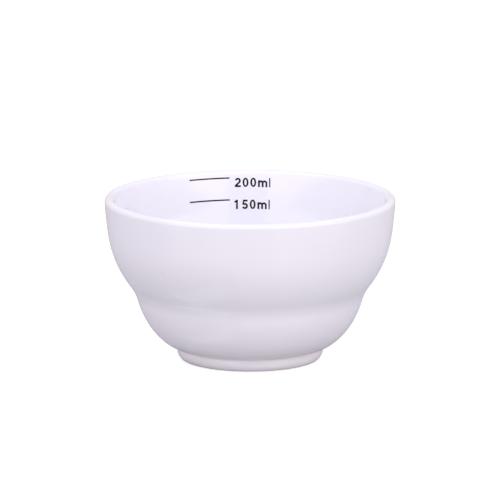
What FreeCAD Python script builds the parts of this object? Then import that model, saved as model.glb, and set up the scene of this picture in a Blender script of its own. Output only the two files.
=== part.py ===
import FreeCAD, Part

import math
import os

import Sketcher
from FreeCAD import Vector

# A small glazed ceramic bowl for mixing hair colour, in millimetres. It stands on its foot
# ring at z = 0 with +Z up, and its axis of revolution is the Z axis. The two measuring marks
# are printed inside, on the +Y side, so that they read from left to right for somebody
# who looks from -Y. The clay, the glaze on it and the ink on the glaze are separate solids.
#
# The wall is a chain of arcs that are tangent to each other. A slope is the angle, in
# degrees, between the wall and the upright at the lower end of an arc, and it is positive
# where the wall leans out towards the rim.
SIZES = (
    ("rim_diameter", 97.0, "widest point, across the lip, with its glaze"),
    ("bowl_height", 55.0, "foot to lip, with its glaze"),
    ("lip_radius", 1.6, "the lip is a full round, twice this thick"),
    ("lip_slope", 3.5, "lean of the outer wall where the lip ends"),
    ("shoulder_radius", 136.0, "nearly straight upper wall"),
    ("shoulder_slope", 8.1, ""),
    ("belly_radius", 36.4, "full outward curve under it"),
    ("belly_slope", 37.4, ""),
    ("waist_radius", 15.7, "hollow ring around the bowl, a place for the fingers"),
    ("waist_slope", 15.7, ""),
    ("hip_radius", 29.8, "lower bulge"),
    ("hip_slope", 33.8, ""),
    ("base_radius", 22.3, "turn in to the foot"),
    ("base_slope", 53.2, ""),
    ("undercut_radius", 9.3, "last turn, to nearly level, over the foot ring"),
    ("undercut_slope", 80.0, ""),
    ("crease_radius", 0.45, "groove between the bowl and its foot ring"),
    ("crease_slope", -15.0, "negative, as the ring swells outwards under the groove"),
    ("foot_edge_radius", 3.2, "the ring's full round outer side, with its glaze"),
    ("well_mouth_radius", 19.0, "inner edge of the flat of bare clay that the bowl stands on"),
    ("well_edge_radius", 0.8, "round at the ring's lower inner edge"),
    ("well_slope", 16.0, "taper of the ring's inner side"),
    ("well_corner_radius", 1.6, "hollow corner inside the ring"),
    ("well_depth", 2.5, "from the table up to the clay in the middle of the foot"),
    ("well_dome_slope", 1.5, "the well's ceiling rises to the middle by this slope at its rim"),
    ("cavity_lip_slope", 7.0, "lean of the inner wall, which thickens downwards"),
    ("cavity_shoulder_radius", 200.0, "the same arcs on the inside, smoother than outside"),
    ("cavity_shoulder_slope", 10.2, ""),
    ("cavity_belly_radius", 32.5, ""),
    ("cavity_belly_slope", 36.0, ""),
    ("cavity_waist_radius", 26.0, ""),
    ("cavity_waist_slope", 20.0, ""),
    ("cavity_base_slope", 82.0, "where the inner wall has turned into the floor"),
    ("floor_height", 5.8, "table to the middle of the clay floor"),
    ("glaze_thickness", 0.25, "glass-like coat on the clay"),
    ("glaze_line_slope", 55.0, "the glaze stops here on the ring's outer round"),
    ("well_glaze_slope", 34.0, "and here on its inner round"),
    ("ink_thickness", 0.06, "printed layer on the glaze"),
    ("upper_mark_height", 52.5, "200 ml line above the table"),
    ("lower_mark_height", 45.1, "150 ml line above the table"),
    ("upper_line_start", -20.5, "x of the 200 ml line's left end"),
    ("lower_line_start", -20.4, "x of the 150 ml line's left end"),
    ("line_length", 13.5, "left to right, seen from the front"),
    ("line_width", 0.45, "thickness of a printed line"),
    ("upper_text_start", -5.15, "x where 200ml starts"),
    ("lower_text_start", -5.35, "x where 150ml starts"),
    ("digit_height", 3.12, ""),
    ("digit_width", 2.0, ""),
    ("digit_pitch", 2.63, "from one character to the next"),
    ("stroke_width", 0.6, "pen width of the characters"),
    ("thin_stroke_width", 0.38, "pen width of the letter l"),
    ("letter_height", 2.25, "low letters"),
    ("letter_m_width", 3.15, ""),
    ("cutter_near", 30.0, "y where the shapes that cut out the ink start"),
    ("cutter_depth", 20.0, "and how far they reach through the wall"),
)

OUTSIDE_ARCS = ("shoulder", "belly", "waist", "hip", "base", "undercut", "crease")
CAVITY_ARCS = ("cavity_shoulder", "cavity_belly", "cavity_waist")

document = FreeCAD.newDocument("mixing_bowl")
sheet = document.addObject("Spreadsheet::Sheet", "Sizes")
for row, (alias, value, meaning) in enumerate(SIZES, start=1):
    sheet.set(f"A{row}", alias)
    sheet.set(f"B{row}", str(value))
    sheet.set(f"C{row}", meaning)
    sheet.setAlias(f"B{row}", alias)
document.recompute()


def size(alias):
    return float(sheet.get(alias))


def towards(angle):
    return Vector(math.cos(math.radians(angle)), math.sin(math.radians(angle)), 0)


def bind(sketch, constraint, formula):
    """Adds a constraint whose value is a formula of the sheet's cells."""
    index = sketch.addConstraint(constraint)
    sketch.setExpression(f"Constraints[{index}]", formula)


class Pen:
    """Draws a chain of tangent arcs and lines in a sketch.

    shift moves the whole chain to the pen's right, so one description draws the clay
    and, a glaze thickness away, the surface of the glaze.
    """

    def __init__(self, sketch, place, heading, tip=None):
        self.sketch = sketch
        self.place = place
        self.heading = heading
        self.tip = tip
        self.shift = 0
        self.shift_formula = "0"

    def shift_right(self, shift, shift_formula):
        self.shift = shift
        self.shift_formula = shift_formula

    def join(self, edge, vertex):
        """Makes the new edge go on smoothly from the edge before it."""
        if self.tip:
            self.sketch.addConstraint(Sketcher.Constraint("Tangent", *self.tip, edge, vertex))

    def arc(self, radius, turn, radius_formula=None, turn_formula=None, construction=False):
        """Turns left by a positive angle and right by a negative one."""
        side = 1 if turn > 0 else -1
        true_radius = radius + side * self.shift
        centre = self.place + towards(self.heading + 90 * side) * true_radius
        begin = self.heading - 90 * side
        low, high = sorted((begin, begin + turn))
        circle = Part.Circle(centre, Vector(0, 0, 1), true_radius)
        geometry = Part.ArcOfCircle(circle, math.radians(low), math.radians(high))
        edge = self.sketch.addGeometry(geometry, construction)
        first, last = (1, 2) if turn > 0 else (2, 1)
        self.join(edge, first)
        if radius_formula:
            sign = "+" if turn > 0 else "-"
            formula = f"{radius_formula} {sign} ({self.shift_formula})"
            bind(self.sketch, Sketcher.Constraint("Radius", edge, true_radius), formula)
        if turn_formula:
            bind(self.sketch, Sketcher.Constraint("Angle", edge, math.radians(abs(turn))), turn_formula)
        self.place = centre + towards(begin + turn) * true_radius
        self.heading += turn
        self.tip = (edge, last)
        return edge, first

    def line(self, length):
        end = self.place + towards(self.heading) * length
        edge = self.sketch.addGeometry(Part.LineSegment(self.place, end), False)
        self.join(edge, 1)
        self.place = end
        self.tip = (edge, 2)
        return edge


def slope_arcs(pen, names, slope_alias):
    """Draws the arcs of a wall downwards, each from the slope of the one before it."""
    for name in names:
        turn = size(slope_alias) - size(f"{name}_slope")
        turn_formula = f"abs(Sizes.{slope_alias} - Sizes.{name}_slope)"
        pen.arc(size(f"{name}_radius"), turn, f"Sizes.{name}_radius", turn_formula)
        slope_alias = f"{name}_slope"


def draw_lip(sketch, depth, depth_formula, construction=False):
    """The round lip, in one arc from the inner wall to the top and one down to the outer wall.

    depth is how far this surface lies under the glazed surface. Returns the pen at the
    outer wall, and a second pen that starts where the lip meets the inner wall.
    """
    centre = Vector(size("rim_diameter") / 2, size("bowl_height"), 0) - Vector(1, 1, 0) * size("lip_radius")
    start = centre - towards(-size("cavity_lip_slope")) * (size("lip_radius") - depth)
    outside = Pen(sketch, start, 90 - size("cavity_lip_slope"))
    outside.shift_right(depth, depth_formula)
    lip, inner_end = outside.arc(size("lip_radius"), size("cavity_lip_slope") - 90, "Sizes.lip_radius",
                                 "90 - Sizes.cavity_lip_slope", construction)
    outside.arc(size("lip_radius"), -90 - size("lip_slope"), "Sizes.lip_radius", "90 + Sizes.lip_slope",
                construction)
    across = Sketcher.Constraint("DistanceX", -1, 1, lip, 3, centre.x)
    bind(sketch, across, "Sizes.rim_diameter / 2 - Sizes.lip_radius")
    upright = Sketcher.Constraint("DistanceY", -1, 1, lip, 3, centre.y)
    bind(sketch, upright, "Sizes.bowl_height - Sizes.lip_radius")
    inside = Pen(sketch, start, -90 - size("cavity_lip_slope"), (lip, inner_end))
    inside.shift_right(-depth, f"-({depth_formula})")
    return outside, inside


def draw_outside(pen, end_slope, end_formula):
    """The outer wall from the lip to the round at the foot ring's lower outer edge."""
    slope_arcs(pen, OUTSIDE_ARCS, "lip_slope")
    lean = math.radians(size("crease_slope"))
    centre_height = size("foot_edge_radius") - size("glaze_thickness")
    edge_radius = size("foot_edge_radius") - pen.shift
    fall = pen.place.y - centre_height + edge_radius * math.sin(lean)
    pen.line(fall / math.cos(lean))
    turn_formula = f"{end_formula} - Sizes.crease_slope"
    edge, _ = pen.arc(size("foot_edge_radius"), size("crease_slope") - end_slope, "Sizes.foot_edge_radius",
                      turn_formula)
    height = Sketcher.Constraint("DistanceY", -1, 1, edge, 3, centre_height)
    bind(pen.sketch, height, "Sizes.foot_edge_radius - Sizes.glaze_thickness")


def end_on_axis(pen, last_arc, height, height_formula):
    """Brings the last arc to the axis, level there and at a given height."""
    pen.sketch.addConstraint(Sketcher.Constraint("PointOnObject", last_arc, 3, -2))
    pen.sketch.addConstraint(Sketcher.Constraint("PointOnObject", *pen.tip, -2))
    bind(pen.sketch, Sketcher.Constraint("DistanceY", -1, 1, *pen.tip, height), height_formula)


def draw_cavity(pen, depth, depth_formula):
    """The inner wall from the lip down to the middle of the floor."""
    slope_arcs(pen, CAVITY_ARCS, "cavity_lip_slope")
    # Two tangent arcs close the wall to the floor. Their radii follow from the floor's height.
    floor_height = size("floor_height") + size("glaze_thickness") - depth
    begin = math.radians(size("cavity_waist_slope"))
    end = math.radians(size("cavity_base_slope"))
    base_run = math.cos(begin) - math.cos(end)
    base_fall = math.sin(end) - math.sin(begin)
    floor_run = math.cos(end)
    floor_fall = 1 - math.sin(end)
    run = pen.place.x
    fall = pen.place.y - floor_height
    determinant = base_run * floor_fall - floor_run * base_fall
    base_radius = (run * floor_fall - floor_run * fall) / determinant
    floor_radius = (base_run * fall - base_fall * run) / determinant
    pen.shift_right(0, "0")
    base_turn = size("cavity_waist_slope") - size("cavity_base_slope")
    pen.arc(base_radius, base_turn, None, "Sizes.cavity_base_slope - Sizes.cavity_waist_slope")
    floor, _ = pen.arc(floor_radius, size("cavity_base_slope") - 90, None, "90 - Sizes.cavity_base_slope")
    height_formula = f"Sizes.floor_height + Sizes.glaze_thickness - ({depth_formula})"
    end_on_axis(pen, floor, floor_height, height_formula)


def draw_well(pen, start_slope, start_formula, ceiling_formula=None):
    """The foot ring's inner side and the ceiling of the well, up to the axis."""
    edge_turn = size("well_slope") - start_slope
    edge, _ = pen.arc(size("well_edge_radius"), edge_turn, "Sizes.well_edge_radius",
                      f"{start_formula} - Sizes.well_slope")
    across = Sketcher.Constraint("DistanceX", -1, 1, edge, 3, size("well_mouth_radius"))
    bind(pen.sketch, across, "Sizes.well_mouth_radius")
    lean = math.radians(size("well_slope"))
    dome = math.radians(size("well_dome_slope"))
    corner_radius = size("well_corner_radius") + pen.shift
    corner_run = corner_radius * (math.cos(lean) - math.sin(dome))
    corner_rise = corner_radius * (math.cos(dome) - math.sin(lean))
    ceiling_height = size("well_depth") + pen.shift
    rise = ceiling_height - pen.place.y - corner_rise
    dome_rise = math.tan(dome / 2)
    rise_at_once = rise - (pen.place.x - corner_run) * dome_rise
    pen.line(rise_at_once / (math.cos(lean) - math.sin(lean) * dome_rise))
    corner_turn = 90 - size("well_slope") - size("well_dome_slope")
    pen.arc(size("well_corner_radius"), corner_turn, "Sizes.well_corner_radius",
            "90 - Sizes.well_slope - Sizes.well_dome_slope")
    shift_formula = pen.shift_formula
    pen.shift_right(0, "0")
    ceiling, _ = pen.arc(pen.place.x / math.sin(dome), size("well_dome_slope"), None, ceiling_formula)
    end_on_axis(pen, ceiling, ceiling_height, f"Sizes.well_depth + ({shift_formula})")
    return edge


def close_gap(sketch, first, second):
    """Straight edge between two open ends, each an edge and one of its vertices."""
    ends = [sketch.getPoint(*corner) for corner in (first, second)]
    edge = sketch.addGeometry(Part.LineSegment(*ends), False)
    sketch.addConstraint(Sketcher.Constraint("Coincident", edge, 1, *first))
    sketch.addConstraint(Sketcher.Constraint("Coincident", edge, 2, *second))


def new_half_section(name):
    """A body with an empty sketch on its XZ plane: x is the radius and y the height."""
    body = document.addObject("PartDesign::Body", name)
    body.Label = name
    sketch = body.newObject("Sketcher::SketchObject", f"{name}_section")
    upright_planes = [plane for plane in body.Origin.OriginFeatures if plane.Role == "XZ_Plane"]
    sketch.AttachmentSupport = (upright_planes[0], "")
    sketch.MapMode = "FlatFace"
    return body, sketch


def revolve(body, sketch):
    turned = body.newObject("PartDesign::Revolution", f"{body.Name}_turned")
    turned.Profile = sketch
    turned.ReferenceAxis = (sketch, ["V_Axis"])
    turned.Angle = 360
    sketch.Visibility = False
    document.recompute()
    return body


def make_bowl_body():
    """Fired clay: the wall, the floor and the foot ring, thrown and turned in one piece."""
    body, sketch = new_half_section("bowl_body")
    depth = size("glaze_thickness")
    outside, inside = draw_lip(sketch, depth, "Sizes.glaze_thickness")
    draw_cavity(inside, depth, "Sizes.glaze_thickness")
    draw_outside(outside, 90, "90")
    outside.line(outside.place.x - size("well_mouth_radius"))
    outside.shift_right(0, "0")
    draw_well(outside, 90, "90")
    close_gap(sketch, outside.tip, inside.tip)
    return revolve(body, sketch)


def make_glaze_coat():
    """Glaze over the lip, the inside and the outside, down to a line just above the table."""
    body, sketch = new_half_section("glaze_coat")
    ends = []
    for depth, depth_formula in ((size("glaze_thickness"), "Sizes.glaze_thickness"), (0, "0")):
        outside, inside = draw_lip(sketch, depth, depth_formula)
        draw_outside(outside, size("glaze_line_slope"), "Sizes.glaze_line_slope")
        draw_cavity(inside, depth, depth_formula)
        ends.append((outside.tip, inside.tip))
    (clay_foot, clay_floor), (glaze_foot, glaze_floor) = ends
    close_gap(sketch, clay_foot, glaze_foot)
    close_gap(sketch, clay_floor, glaze_floor)
    return revolve(body, sketch)


def make_well_glaze():
    """Glaze in the well under the bowl, which the bare contact ring parts from the coat."""
    body, sketch = new_half_section("foot_well_glaze")
    start_slope = size("well_glaze_slope")
    centre = Vector(size("well_mouth_radius"), size("well_edge_radius"), 0)
    tips = []
    starts = []
    for skin, skin_formula in ((0, "0"), (size("glaze_thickness"), "Sizes.glaze_thickness")):
        start = centre - towards(start_slope) * (size("well_edge_radius") + skin)
        pen = Pen(sketch, start, 90 + start_slope)
        pen.shift_right(-skin, f"-({skin_formula})")
        edge = draw_well(pen, start_slope, "Sizes.well_glaze_slope", "Sizes.well_dome_slope")
        height = Sketcher.Constraint("DistanceY", -1, 1, edge, 3, centre.y)
        bind(sketch, height, "Sizes.well_edge_radius")
        starts.append((edge, 2))
        tips.append(pen.tip)
    close_gap(sketch, *starts)
    close_gap(sketch, *tips)
    return revolve(body, sketch)


def make_ink_film():
    """The layer that the ink can lie in, all over the glaze inside. The marks are cut from it."""
    body, sketch = new_half_section("ink_film")
    starts = []
    tips = []
    for depth, depth_formula in ((0, "0"), (-size("ink_thickness"), "-Sizes.ink_thickness")):
        _, inside = draw_lip(sketch, depth, depth_formula, construction=True)
        first_arc = sketch.GeometryCount
        draw_cavity(inside, depth, depth_formula)
        starts.append((first_arc, 2))
        tips.append(inside.tip)
    close_gap(sketch, *starts)
    close_gap(sketch, *tips)
    return revolve(body, sketch)


def bar(start, end, width):
    """Pen stroke with square ends, on the XZ plane."""
    start, end = Vector(start[0], 0, start[1]), Vector(end[0], 0, end[1])
    along = (end - start).normalize()
    across = Vector(-along.z, 0, along.x) * (width / 2)
    corners = [start + across, end + across, end - across, start - across]
    return Part.Face(Part.makePolygon(corners + corners[:1]))


def bow(centre, radius, begin, turn, width):
    """Round pen stroke from an angle, turning left by a positive angle."""
    middle = Vector(centre[0], 0, centre[1])

    def point(distance, angle):
        return middle + Vector(math.cos(math.radians(angle)), 0, math.sin(math.radians(angle))) * distance

    outer, inner = radius + width / 2, radius - width / 2
    end = begin + turn
    edges = [
        Part.Arc(point(outer, begin), point(outer, begin + turn / 2), point(outer, end)).toShape(),
        Part.LineSegment(point(outer, end), point(inner, end)).toShape(),
        Part.Arc(point(inner, end), point(inner, begin + turn / 2), point(inner, begin)).toShape(),
        Part.LineSegment(point(inner, begin), point(outer, begin)).toShape(),
    ]
    return Part.Face(Part.Wire(edges))


def oval(width, height):
    """Flat oval that fills a box with its lower left corner at the origin."""
    disc = Part.Face(Part.Wire(Part.Circle(Vector(), Vector(0, 1, 0), 1).toShape()))
    stretch = FreeCAD.Matrix()
    stretch.scale(width / 2, 1, height / 2)
    disc = disc.transformGeometry(stretch)
    disc.translate(Vector(width / 2, 0, height / 2))
    return disc


def figure_0():
    width, height, pen = size("digit_width"), size("digit_height"), size("stroke_width")
    hole = oval(width - 2 * pen, height - 1.8 * pen)
    hole.translate(Vector(pen, 0, 0.9 * pen))
    return [oval(width, height).cut(hole)]


def figure_1():
    height, pen = size("digit_height"), size("stroke_width")
    stem_x = 0.46 * size("digit_width")
    flag = bar((stem_x - 0.85, 0.74 * height), (stem_x, 0.93 * height), 0.85 * pen)
    return [bar((stem_x, 0), (stem_x, height), pen), flag]


def figure_2():
    width, height, pen = size("digit_width"), size("digit_height"), size("stroke_width")
    radius = (width - pen) / 2
    centre = (width / 2, height - pen / 2 - radius)
    turn_in = 47
    head = bow(centre, radius, -turn_in, 165 + turn_in, pen)
    leave = math.radians(-turn_in)
    neck = (centre[0] + radius * math.cos(leave), centre[1] + radius * math.sin(leave))
    diagonal = bar(neck, (0.45 * pen, 0.75 * pen), pen)
    return [head, diagonal, bar((0, pen / 2), (width, pen / 2), pen)]


def figure_5():
    width, height, pen = size("digit_width"), size("digit_height"), size("stroke_width")
    radius = (width - pen) / 2
    bowl = bow((width / 2, pen / 2 + radius), radius, -160, 300, pen)
    stem_foot = (0.42 * pen + 0.12, 0.46 * height)
    stem = bar(stem_foot, (stem_foot[0] + 0.24, height), 0.85 * pen)
    flag = bar((stem_foot[0] + 0.1, height - pen / 2), (0.94 * width, height - pen / 2), pen)
    return [bowl, stem, flag]


def letter_m():
    width, height, pen = size("letter_m_width"), size("letter_height"), size("stroke_width")
    pitch = (width - pen) / 2
    radius = pitch / 2
    shoulder = height - pen / 2 - radius
    strokes = [bar((pen / 2, 0), (pen / 2, height), pen)]
    for arch in (1, 2):
        right = pen / 2 + pitch * arch
        strokes.append(bow((right - radius, shoulder), radius, 0, 180, pen))
        strokes.append(bar((right, 0), (right, shoulder), pen))
    return strokes


def letter_l():
    pen = size("thin_stroke_width")
    return [bar((pen / 2, 0), (pen / 2, size("digit_height")), pen)]


FIGURES = {"0": figure_0, "1": figure_1, "2": figure_2, "5": figure_5}


def make_text_cutter(name, digits, prefix):
    """The characters as upright prisms that reach through the wall on the +Y side."""
    pitch = size("digit_pitch")
    characters = [(pitch * place, FIGURES[digit]()) for place, digit in enumerate(digits)]
    letters_start = pitch * len(digits)
    letter_gap = pitch - size("digit_width")
    characters.append((letters_start, letter_m()))
    characters.append((letters_start + size("letter_m_width") + letter_gap, letter_l()))
    prisms = []
    for left, strokes in characters:
        solids = [stroke.extrude(Vector(0, size("cutter_depth"), 0)) for stroke in strokes]
        prism = solids[0].multiFuse(solids[1:]).removeSplitter() if solids[1:] else solids[0]
        prism.translate(Vector(left, 0, 0))
        prisms.append(prism)
    cutter = document.addObject("Part::Feature", f"{name}_cutter")
    cutter.Shape = Part.makeCompound(prisms)
    bottom = size(f"{prefix}_mark_height") - size("digit_height")
    corner = Vector(size(f"{prefix}_text_start"), size("cutter_near"), bottom)
    cutter.Placement = FreeCAD.Placement(corner, FreeCAD.Rotation())
    return cutter


def make_line_cutter(name, prefix):
    cutter = document.addObject("Part::Box", f"{name}_cutter")
    cutter.setExpression("Length", "Sizes.line_length")
    cutter.setExpression("Width", "Sizes.cutter_depth")
    cutter.setExpression("Height", "Sizes.line_width")
    cutter.setExpression("Placement.Base.x", f"Sizes.{prefix}_line_start")
    cutter.setExpression("Placement.Base.y", "Sizes.cutter_near")
    cutter.setExpression("Placement.Base.z", f"Sizes.{prefix}_mark_height - Sizes.line_width / 2")
    return cutter


def print_mark(name, film, cutter):
    """The part of the ink film that a cutter leaves."""
    mark = document.addObject("Part::Common", name)
    mark.Label = name
    mark.Base = film
    mark.Tool = cutter
    document.recompute()
    return mark


def volume_below(height, solids):
    """What the bowl holds up to a height, in millilitres."""
    disc = Part.makeCylinder(size("rim_diameter"), height)
    for space in disc.cut(solids).Solids:
        if space.isInside(Vector(0, 0, height - 1), 0.01, False):
            return space.Volume / 1000
    return 0


bowl_body = make_bowl_body()
glaze_coat = make_glaze_coat()
well_glaze = make_well_glaze()
ink_film = make_ink_film()

pieces = [bowl_body, glaze_coat, well_glaze]
for digits, prefix in (("200", "upper"), ("150", "lower")):
    line_name = f"graduation_line_{digits}ml"
    text_name = f"graduation_numerals_{digits}ml"
    pieces.append(print_mark(line_name, ink_film, make_line_cutter(line_name, prefix)))
    pieces.append(print_mark(text_name, ink_film, make_text_cutter(text_name, digits, prefix)))
document.recompute()

failures = [item.Name for item in document.Objects if {"Invalid", "Error"} & set(item.State)]
failures += [piece.Label for piece in pieces if piece.Shape.isNull() or not piece.Shape.isValid()]
if failures:
    raise RuntimeError(f"these did not build: {failures}")

os.makedirs("parts", exist_ok=True)
for piece in pieces:
    piece.Shape.exportStep(os.path.join("parts", f"{piece.Label}.step"))
    box = piece.Shape.optimalBoundingBox(True, False)
    print(f"{piece.Label}: {len(piece.Shape.Solids)} solids, {piece.Shape.Volume:.2f} mm3, "
          f"z {box.ZMin:.3f} to {box.ZMax:.3f}, widest {box.XLength:.2f}")

coated = [bowl_body.Shape, glaze_coat.Shape]
for prefix in ("upper", "lower"):
    print(f"{prefix} mark: {volume_below(size(prefix + '_mark_height'), coated):.1f} ml")
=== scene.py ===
import math

import bmesh
import bpy
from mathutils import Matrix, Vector, noise


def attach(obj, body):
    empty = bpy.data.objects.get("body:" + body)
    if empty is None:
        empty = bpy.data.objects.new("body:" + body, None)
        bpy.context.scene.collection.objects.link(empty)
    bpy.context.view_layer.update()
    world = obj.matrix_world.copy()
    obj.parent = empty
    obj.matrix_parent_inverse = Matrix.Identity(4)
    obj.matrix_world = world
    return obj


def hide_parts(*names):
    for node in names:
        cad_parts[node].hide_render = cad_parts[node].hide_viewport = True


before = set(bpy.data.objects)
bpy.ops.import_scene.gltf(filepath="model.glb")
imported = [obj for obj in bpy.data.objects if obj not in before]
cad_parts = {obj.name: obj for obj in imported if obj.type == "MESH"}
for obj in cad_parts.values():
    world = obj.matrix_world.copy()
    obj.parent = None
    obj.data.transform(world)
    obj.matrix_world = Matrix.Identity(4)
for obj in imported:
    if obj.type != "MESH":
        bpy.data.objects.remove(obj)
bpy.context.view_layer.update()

# A small glazed ceramic bowl. The CAD model holds its sizes, and this script draws the same
# surfaces finely: the clay, the glaze on it and the ink on the glaze. Lengths are written in
# millimetres and turned into metres by MM. Slopes are degrees from the upright.
MM = 0.001
LEVEL = 90.0

# Headings of a walk, in degrees from straight outwards.
UP = 90.0
DOWN = -90.0

# The outside. Each arc is a radius and the slope that it ends at: upper wall, belly, waist ring,
# second bulge in three arcs, and the groove over the foot ring.
RIM_RADIUS = 48.5
BOWL_HEIGHT = 55.0
LIP_RADIUS = 1.6
LIP_SLOPE = 3.5
OUTSIDE_ARCS = (
    (136.0, 8.1),
    (36.4, 37.4),
    (15.7, 15.7),
    (29.8, 33.8),
    (22.3, 53.2),
    (9.3, 80.0),
    (0.45, -15.0),
)
FOOT_SLOPE = OUTSIDE_ARCS[-1][1]
FOOT_EDGE_RADIUS = 3.2

# The inside.
CAVITY_LIP_SLOPE = 7.0
CAVITY_ARCS = ((200.0, 10.2), (32.5, 36.0), (26.0, 20.0))
CAVITY_BASE_SLOPE = 82.0
FLOOR_HEIGHT = 5.8

# The well under the foot.
WELL_MOUTH_RADIUS = 19.0
WELL_EDGE_RADIUS = 0.8
WELL_SLOPE = 16.0
WELL_CORNER_RADIUS = 1.6
WELL_DEPTH = 2.5
WELL_DOME_SLOPE = 1.5

# The glaze ends on the foot ring's two round edges, at these slopes.
GLAZE = 0.25
GLAZE_LINE_SLOPE = 55.0
WELL_GLAZE_SLOPE = 34.0

# Heights over the glaze. The ink's back lies a little way in it. Above INK_MIDDLE, a point of the
# CAD model's ink belongs to the face, and below it to the back.
INK_FACE = 0.05
INK_BACK = -0.01
INK_MIDDLE = 0.03

# How the making and the firing move the surfaces. The waves are counted per metre.
SWELL = 0.06
SWELL_WAVES = 22.0
GLAZE_FLOW = 0.006
GLAZE_FLOW_WAVES = 60.0

# How finely the surfaces are drawn.
ROUND_STEPS = 360
LONGEST_STEP = 0.9
LARGEST_TURN = 2.5
LONGEST_INK_EDGE = 0.35
MOST_INK_DIVISIONS = 8
SAME_POINT = 0.001

# The studio, in metres.
SOFTBOX_DISTANCE = 1.0
TABLE_REACH = 8.0


def towards(angle):
    return Vector((math.cos(math.radians(angle)), math.sin(math.radians(angle))))


class Walk:
    """Points along a chain of tangent arcs and lines, in (radius, height).

    shift moves the chain to the walker's right, which turns one surface into a parallel one.
    """

    def __init__(self, place, heading, shift=0.0):
        self.place = place
        self.heading = heading
        self.shift = shift
        self.points = [place.copy()]

    def arc(self, radius, turn):
        """Turns left by a positive angle and right by a negative one."""
        side = 1 if turn > 0 else -1
        true_radius = radius + side * self.shift
        centre = self.place + towards(self.heading + 90 * side) * true_radius
        begin = self.heading - 90 * side
        arc_length = true_radius * math.radians(abs(turn))
        steps = max(2, math.ceil(arc_length / LONGEST_STEP), math.ceil(abs(turn) / LARGEST_TURN))
        for step in range(1, steps + 1):
            self.points.append(centre + towards(begin + turn * step / steps) * true_radius)
        self.place = self.points[-1].copy()
        self.heading += turn

    def line(self, length):
        start = self.place.copy()
        direction = towards(self.heading)
        steps = max(1, math.ceil(length / LONGEST_STEP))
        for step in range(1, steps + 1):
            self.points.append(start + direction * length * step / steps)
        self.place = self.points[-1].copy()

    def slopes(self, arcs, slope):
        """Walks down a wall whose arcs end at given slopes."""
        for radius, next_slope in arcs:
            self.arc(radius, slope - next_slope)
            slope = next_slope


def inner_lip_point(depth):
    """Where the lip's round meets the inner wall. depth is under the glaze's surface."""
    lip_centre = Vector((RIM_RADIUS - LIP_RADIUS, BOWL_HEIGHT - LIP_RADIUS))
    return lip_centre - towards(-CAVITY_LIP_SLOPE) * (LIP_RADIUS - depth)


def outside_line(depth, end_slope):
    """From the inner wall over the lip, down the outside and round the foot ring's outer side."""
    walk = Walk(inner_lip_point(depth), UP - CAVITY_LIP_SLOPE, depth)
    walk.arc(LIP_RADIUS, CAVITY_LIP_SLOPE - LIP_SLOPE - 180)
    walk.slopes(OUTSIDE_ARCS, LIP_SLOPE)
    lean = math.radians(FOOT_SLOPE)
    edge_height = FOOT_EDGE_RADIUS - GLAZE
    fall = walk.place.y - edge_height + (FOOT_EDGE_RADIUS - depth) * math.sin(lean)
    walk.line(fall / math.cos(lean))
    walk.arc(FOOT_EDGE_RADIUS, FOOT_SLOPE - end_slope)
    return walk.points


def cavity_line(depth):
    """From the lip down the inside to the middle of the floor.

    The last two arcs, the base and the floor, get the radii that end on the axis at the floor's
    height.
    """
    walk = Walk(inner_lip_point(depth), DOWN - CAVITY_LIP_SLOPE, -depth)
    walk.slopes(CAVITY_ARCS, CAVITY_LIP_SLOPE)
    waist_slope = CAVITY_ARCS[-1][1]
    begin, end = math.radians(waist_slope), math.radians(CAVITY_BASE_SLOPE)
    base_run, base_fall = math.cos(begin) - math.cos(end), math.sin(end) - math.sin(begin)
    floor_run, floor_fall = math.cos(end), 1 - math.sin(end)
    run = walk.place.x
    fall = walk.place.y - (FLOOR_HEIGHT + GLAZE - depth)
    determinant = base_run * floor_fall - floor_run * base_fall
    walk.shift = 0.0
    walk.arc((run * floor_fall - floor_run * fall) / determinant, waist_slope - CAVITY_BASE_SLOPE)
    walk.arc((base_run * fall - base_fall * run) / determinant, CAVITY_BASE_SLOPE - LEVEL)
    return walk.points


def well_line(skin, start_slope):
    """From the foot ring's inner edge up into the well and to its middle. skin is over the clay."""
    centre = Vector((WELL_MOUTH_RADIUS, WELL_EDGE_RADIUS))
    start = centre - towards(start_slope) * (WELL_EDGE_RADIUS + skin)
    walk = Walk(start, UP + start_slope, -skin)
    walk.arc(WELL_EDGE_RADIUS, WELL_SLOPE - start_slope)
    lean, dome = math.radians(WELL_SLOPE), math.radians(WELL_DOME_SLOPE)
    corner = WELL_CORNER_RADIUS - skin
    corner_run = corner * (math.cos(lean) - math.sin(dome))
    corner_rise = corner * (math.cos(dome) - math.sin(lean))
    dome_rise = math.tan(dome / 2)
    rise = WELL_DEPTH - skin - walk.place.y - corner_rise - (walk.place.x - corner_run) * dome_rise
    walk.line(rise / (math.cos(lean) - math.sin(lean) * dome_rise))
    walk.arc(WELL_CORNER_RADIUS, LEVEL - WELL_SLOPE - WELL_DOME_SLOPE)
    walk.shift = 0.0
    walk.arc(walk.place.x / math.sin(dome), WELL_DOME_SLOPE)
    return walk.points


def hand_made(place):
    """Moves a point as the making and the firing move it: the same for clay, glaze and ink."""
    swell = noise.noise(place * SWELL_WAVES) * SWELL * MM
    outward = Vector((place.x, place.y, 0.0))
    if outward.length > SAME_POINT * MM:
        outward.normalize()
    return place + outward * swell


def glaze_flow(place):
    """How much thicker or thinner the glaze lies at a point, in metres."""
    return noise.noise(place * GLAZE_FLOW_WAVES) * GLAZE_FLOW * MM


def link_piece(name, mesh):
    piece = bpy.data.objects.new(name, mesh)
    bpy.context.scene.collection.objects.link(piece)
    return piece


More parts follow.
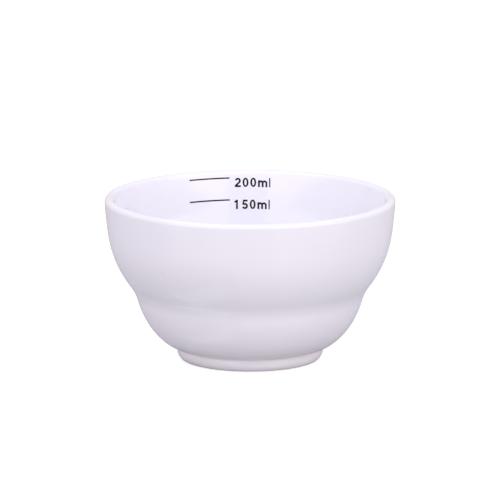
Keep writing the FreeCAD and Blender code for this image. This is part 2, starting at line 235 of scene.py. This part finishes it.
def turned(name, outline, thicken=None):
    """A closed solid of revolution. The outline starts and ends on the axis."""
    mesh = bpy.data.meshes.new(name)
    work = bmesh.new()
    rings = []
    for point in outline[1:-1]:
        ring = []
        for step in range(ROUND_STEPS):
            around = 2 * math.pi * step / ROUND_STEPS
            place = Vector((point.x * math.cos(around), point.x * math.sin(around), point.y)) * MM
            ring.append(work.verts.new(place))
        rings.append(ring)
    for ring, next_ring in zip(rings, rings[1:]):
        for step in range(ROUND_STEPS):
            beside = (step + 1) % ROUND_STEPS
            work.faces.new((ring[step], ring[beside], next_ring[beside], next_ring[step]))
    for ring, point in ((rings[0], outline[0]), (rings[-1], outline[-1])):
        middle = work.verts.new(Vector((0.0, 0.0, point.y)) * MM)
        for step in range(ROUND_STEPS):
            work.faces.new((middle, ring[step], ring[(step + 1) % ROUND_STEPS]))
    bmesh.ops.recalc_face_normals(work, faces=work.faces)
    work.normal_update()
    moves = []
    for vertex in work.verts:
        place = hand_made(vertex.co)
        if thicken:
            place += vertex.normal * thicken(vertex.co)
        moves.append(place)
    for vertex, place in zip(work.verts, moves):
        vertex.co = place
    work.to_mesh(mesh)
    work.free()
    mesh.polygons.foreach_set("use_smooth", [True] * len(mesh.polygons))
    return link_piece(name, mesh)


def ink_piece(name, node_name, surface):
    """The printed mark of a CAD node, divided finely and laid on the curve of the glaze."""
    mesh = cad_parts[node_name].data.copy()
    mesh.name = name
    work = bmesh.new()
    work.from_mesh(mesh)
    bmesh.ops.remove_doubles(work, verts=work.verts, dist=SAME_POINT * MM)
    for _ in range(MOST_INK_DIVISIONS):
        long_edges = [edge for edge in work.edges if edge.calc_length() > LONGEST_INK_EDGE * MM]
        if not long_edges:
            break
        bmesh.ops.subdivide_edges(work, edges=long_edges, cuts=1)
        bmesh.ops.triangulate(work, faces=work.faces)
    heights = [point.y for point in surface]
    for vertex in work.verts:
        height = vertex.co.z / MM
        index = next(i for i, z in enumerate(heights) if z < height)
        share = (heights[index - 1] - height) / (heights[index - 1] - heights[index])
        radius = surface[index - 1].x + (surface[index].x - surface[index - 1].x) * share
        distance = math.hypot(vertex.co.x, vertex.co.y)
        lies_on_glaze = distance > (radius - INK_MIDDLE) * MM
        new_distance = (radius - (INK_BACK if lies_on_glaze else INK_FACE)) * MM
        flat = Vector((vertex.co.x, vertex.co.y, 0.0)) * (new_distance / distance)
        vertex.co = hand_made(Vector((flat.x, flat.y, vertex.co.z)))
    work.to_mesh(mesh)
    work.free()
    return link_piece(name, mesh)


def place_piece(piece, material, node_name):
    piece.data.materials.clear()
    piece.data.materials.append(material)
    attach(piece, "root")
    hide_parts(node_name)


def grey(level):
    return (level, level, level)


def new_material(name):
    material = bpy.data.materials.new(name)
    material.use_nodes = True
    nodes = material.node_tree.nodes
    return material, nodes, material.node_tree.links, nodes["Principled BSDF"]


def object_noise(nodes, links, scale, detail):
    """Noise over the object's own coordinates, which are in metres."""
    where = nodes.new("ShaderNodeTexCoord")
    pattern = nodes.new("ShaderNodeTexNoise")
    pattern.inputs["Scale"].default_value = scale
    pattern.inputs["Detail"].default_value = detail
    links.new(where.outputs["Object"], pattern.inputs["Vector"])
    return pattern.outputs["Fac"]


def ramp(nodes, links, source, stops):
    """Colour ramp from a list of (position, colour)."""
    colours = nodes.new("ShaderNodeValToRGB")
    elements = colours.color_ramp.elements
    while len(elements) < len(stops):
        elements.new(0.5)
    for element, (position, colour) in zip(elements, stops):
        element.position = position
        element.color = (*colour, 1.0)
    links.new(source, colours.inputs["Fac"])
    return colours.outputs["Color"]


def mixed(nodes, links, first, blend_type="MIX"):
    """A colour mix with its first colour linked. The caller sets the second and the factor."""
    mix = nodes.new("ShaderNodeMix")
    mix.data_type = "RGBA"
    mix.blend_type = blend_type
    links.new(first, mix.inputs["A"])
    return mix


def glaze_material():
    """White glaze with a faint change of tone and polish, and a few iron specks."""
    material, nodes, links, shader = new_material("white_glaze")
    tone = object_noise(nodes, links, scale=38.0, detail=2.0)
    pale = ramp(nodes, links, tone, ((0.3, (0.872, 0.85, 0.886)), (0.7, (0.888, 0.867, 0.898))))
    # A speck shows where a cell's middle lies less than a quarter of a millimetre away.
    where = nodes.new("ShaderNodeTexCoord")
    cells = nodes.new("ShaderNodeTexVoronoi")
    cells.inputs["Scale"].default_value = 150.0
    links.new(where.outputs["Object"], cells.inputs["Vector"])
    speck_stops = ((0.014, (0.72, 0.66, 0.62)), (0.034, grey(1.0)))
    specks = ramp(nodes, links, cells.outputs["Distance"], speck_stops)
    speckled = mixed(nodes, links, pale, "MULTIPLY")
    speckled.inputs["Factor"].default_value = 1.0
    links.new(specks, speckled.inputs["B"])
    links.new(speckled.outputs["Result"], shader.inputs["Base Color"])
    polish = object_noise(nodes, links, scale=110.0, detail=1.0)
    roughness = ramp(nodes, links, polish, ((0.3, grey(0.025)), (0.7, grey(0.06))))
    links.new(roughness, shader.inputs["Roughness"])
    shader.inputs["IOR"].default_value = 1.52
    return material


def ink_material():
    material, nodes, links, shader = new_material("dark_ink")
    density = object_noise(nodes, links, scale=2600.0, detail=3.0)
    stops = ((0.35, (0.004, 0.004, 0.006)), (0.75, (0.014, 0.013, 0.018)))
    links.new(ramp(nodes, links, density, stops), shader.inputs["Base Color"])
    shader.inputs["Roughness"].default_value = 0.55
    shader.inputs["Specular IOR Level"].default_value = 0.2
    return material


def clay_material():
    material, nodes, links, shader = new_material("fired_clay")
    grain = object_noise(nodes, links, scale=1500.0, detail=6.0)
    stops = ((0.3, (0.62, 0.57, 0.5)), (0.62, (0.82, 0.78, 0.72)))
    links.new(ramp(nodes, links, grain, stops), shader.inputs["Base Color"])
    shader.inputs["Roughness"].default_value = 0.85
    bump = nodes.new("ShaderNodeBump")
    bump.inputs["Strength"].default_value = 0.5
    bump.inputs["Distance"].default_value = 0.0001
    links.new(grain, bump.inputs["Height"])
    links.new(bump.outputs["Normal"], shader.inputs["Normal"])
    return material


def build_bowl():
    glaze = glaze_material()
    clay = clay_material()
    ink = ink_material()

    clay_outline = cavity_line(GLAZE)[::-1] + outside_line(GLAZE, LEVEL)[1:] + well_line(0.0, LEVEL)
    body = turned("bowl_clay", clay_outline)
    place_piece(body, clay, "bowl_body")

    glaze_side = cavity_line(0.0)[::-1] + outside_line(0.0, GLAZE_LINE_SLOPE)[1:]
    clay_side = outside_line(GLAZE, GLAZE_LINE_SLOPE)[::-1] + cavity_line(GLAZE)[1:]
    coat = turned("bowl_glaze", glaze_side + clay_side, glaze_flow)
    place_piece(coat, glaze, "glaze_coat")

    well_outline = well_line(0.0, WELL_GLAZE_SLOPE)[::-1] + well_line(GLAZE, WELL_GLAZE_SLOPE)
    well = turned("foot_well_lining", well_outline)
    place_piece(well, glaze, "foot_well_glaze")

    surface = cavity_line(0.0)
    for amount in ("200ml", "150ml"):
        for kind in ("line", "numerals"):
            node_name = f"graduation_{kind}_{amount}"
            mark = ink_piece(f"printed_{kind}_{amount}", node_name, surface)
            place_piece(mark, ink, node_name)


def softbox(name, azimuths, heights, radiance):
    """An upright light that faces the bowl's axis. It covers these degrees around the bowl.

    Azimuth 0 is in front, towards -Y, and 90 is towards +X. radiance is red, green and blue.
    """
    around = math.radians(sum(azimuths) / 2)
    outwards = Vector((math.sin(around), -math.cos(around), 0.0))
    light = bpy.data.lights.new(name, "AREA")
    light.shape = "RECTANGLE"
    light.size = 2 * SOFTBOX_DISTANCE * math.tan(math.radians(azimuths[1] - azimuths[0]) / 2)
    light.size_y = heights[1] - heights[0]
    strongest = max(radiance)
    light.color = [channel / strongest for channel in radiance]
    # The power with which an even light of this area shows that radiance.
    light.energy = strongest * math.pi * light.size * light.size_y
    lamp = bpy.data.objects.new(name, light)
    lamp.location = outwards * SOFTBOX_DISTANCE + Vector((0.0, 0.0, sum(heights) / 2))
    lamp.rotation_euler = (-outwards).to_track_quat("-Z", "Y").to_euler()
    bpy.context.scene.collection.objects.link(lamp)


def build_world():
    """A pale tent around the bowl: brighter at its sides than overhead. The camera sees white."""
    world = bpy.data.worlds.new("studio")
    world.use_nodes = True
    nodes, links = world.node_tree.nodes, world.node_tree.links
    sky = nodes["Background"]
    where = nodes.new("ShaderNodeTexCoord")
    height = nodes.new("ShaderNodeSeparateXYZ")
    links.new(where.outputs["Generated"], height.inputs["Vector"])
    low = (0.60, 0.51, 0.49)
    middle = (0.67, 0.62, 0.76)
    top = (0.45, 0.51, 0.55)
    stops = ((0.0, low), (0.2, low), (0.3, middle), (0.55, middle), (0.65, top), (1.0, top))
    tent = ramp(nodes, links, height.outputs["Z"], stops)
    path = nodes.new("ShaderNodeLightPath")
    seen = mixed(nodes, links, tent)
    seen.inputs["B"].default_value = (*grey(0.8), 1.0)
    links.new(path.outputs["Is Camera Ray"], seen.inputs["Factor"])
    links.new(seen.outputs["Result"], sky.inputs["Color"])
    sky.inputs["Strength"].default_value = 1.35
    bpy.context.scene.world = world


def build_floor():
    """A pale glossy table that mirrors the lights to the bowl. The camera sees it plain white."""
    mesh = bpy.data.meshes.new("studio_floor")
    corners = [(x * TABLE_REACH, y * TABLE_REACH, 0.0) for x, y in ((-1, -1), (1, -1), (1, 1), (-1, 1))]
    mesh.from_pydata(corners, [], [(0, 1, 2, 3)])
    floor = link_piece("studio_floor", mesh)
    material, nodes, links, shader = new_material("studio_floor")
    shader.inputs["Base Color"].default_value = (*grey(0.45), 1.0)
    shader.inputs["Roughness"].default_value = 0.02
    shader.inputs["IOR"].default_value = 2.0
    shader.inputs["Emission Color"].default_value = (*grey(1.0), 1.0)
    path = nodes.new("ShaderNodeLightPath")
    shine = nodes.new("ShaderNodeMath")
    shine.operation = "SUBTRACT"
    shine.inputs[0].default_value = 1.0
    links.new(path.outputs["Is Camera Ray"], shine.inputs[1])
    links.new(shine.outputs["Value"], shader.inputs["Specular IOR Level"])
    glow = nodes.new("ShaderNodeMath")
    glow.operation = "MULTIPLY"
    glow.inputs[1].default_value = 0.78
    links.new(path.outputs["Is Camera Ray"], glow.inputs[0])
    links.new(glow.outputs["Value"], shader.inputs["Emission Strength"])
    # Only the camera sees the glow, so it isn't sampled as a light.
    material.cycles.emission_sampling = "NONE"
    mesh.materials.append(material)


def build_studio():
    softbox("right_softbox", azimuths=(19.5, 78.0), heights=(0.005, 1.2), radiance=(1.19, 1.16, 1.16))
    softbox("left_softbox", azimuths=(-66.0, -15.5), heights=(0.005, 0.62), radiance=(1.13, 1.10, 1.12))
    softbox("upper_left_softbox", azimuths=(-110.0, -30.0), heights=(1.5, 3.0), radiance=(2.4, 2.45, 2.6))
    softbox("upper_front_softbox", azimuths=(-15.5, 19.5), heights=(0.7, 1.7), radiance=(0.90, 0.88, 1.10))
    build_world()
    build_floor()


def add_camera():
    distance = 2.0575
    elevation = math.radians(11.682)
    target = Vector((0.0, 0.0, 0.0367))
    camera = bpy.data.objects.new("camera", bpy.data.cameras.new("camera"))
    camera.data.sensor_width = 36.0
    camera.data.lens = 443.8
    camera.data.clip_end = 20.0
    camera.location = target + Vector((0.0, -math.cos(elevation), math.sin(elevation))) * distance
    camera.rotation_euler = (math.pi / 2 - elevation, 0.0, 0.0)
    bpy.context.scene.collection.objects.link(camera)
    bpy.context.scene.camera = camera


build_bowl()
build_studio()
add_camera()
bpy.context.scene.view_settings.view_transform = "Standard"
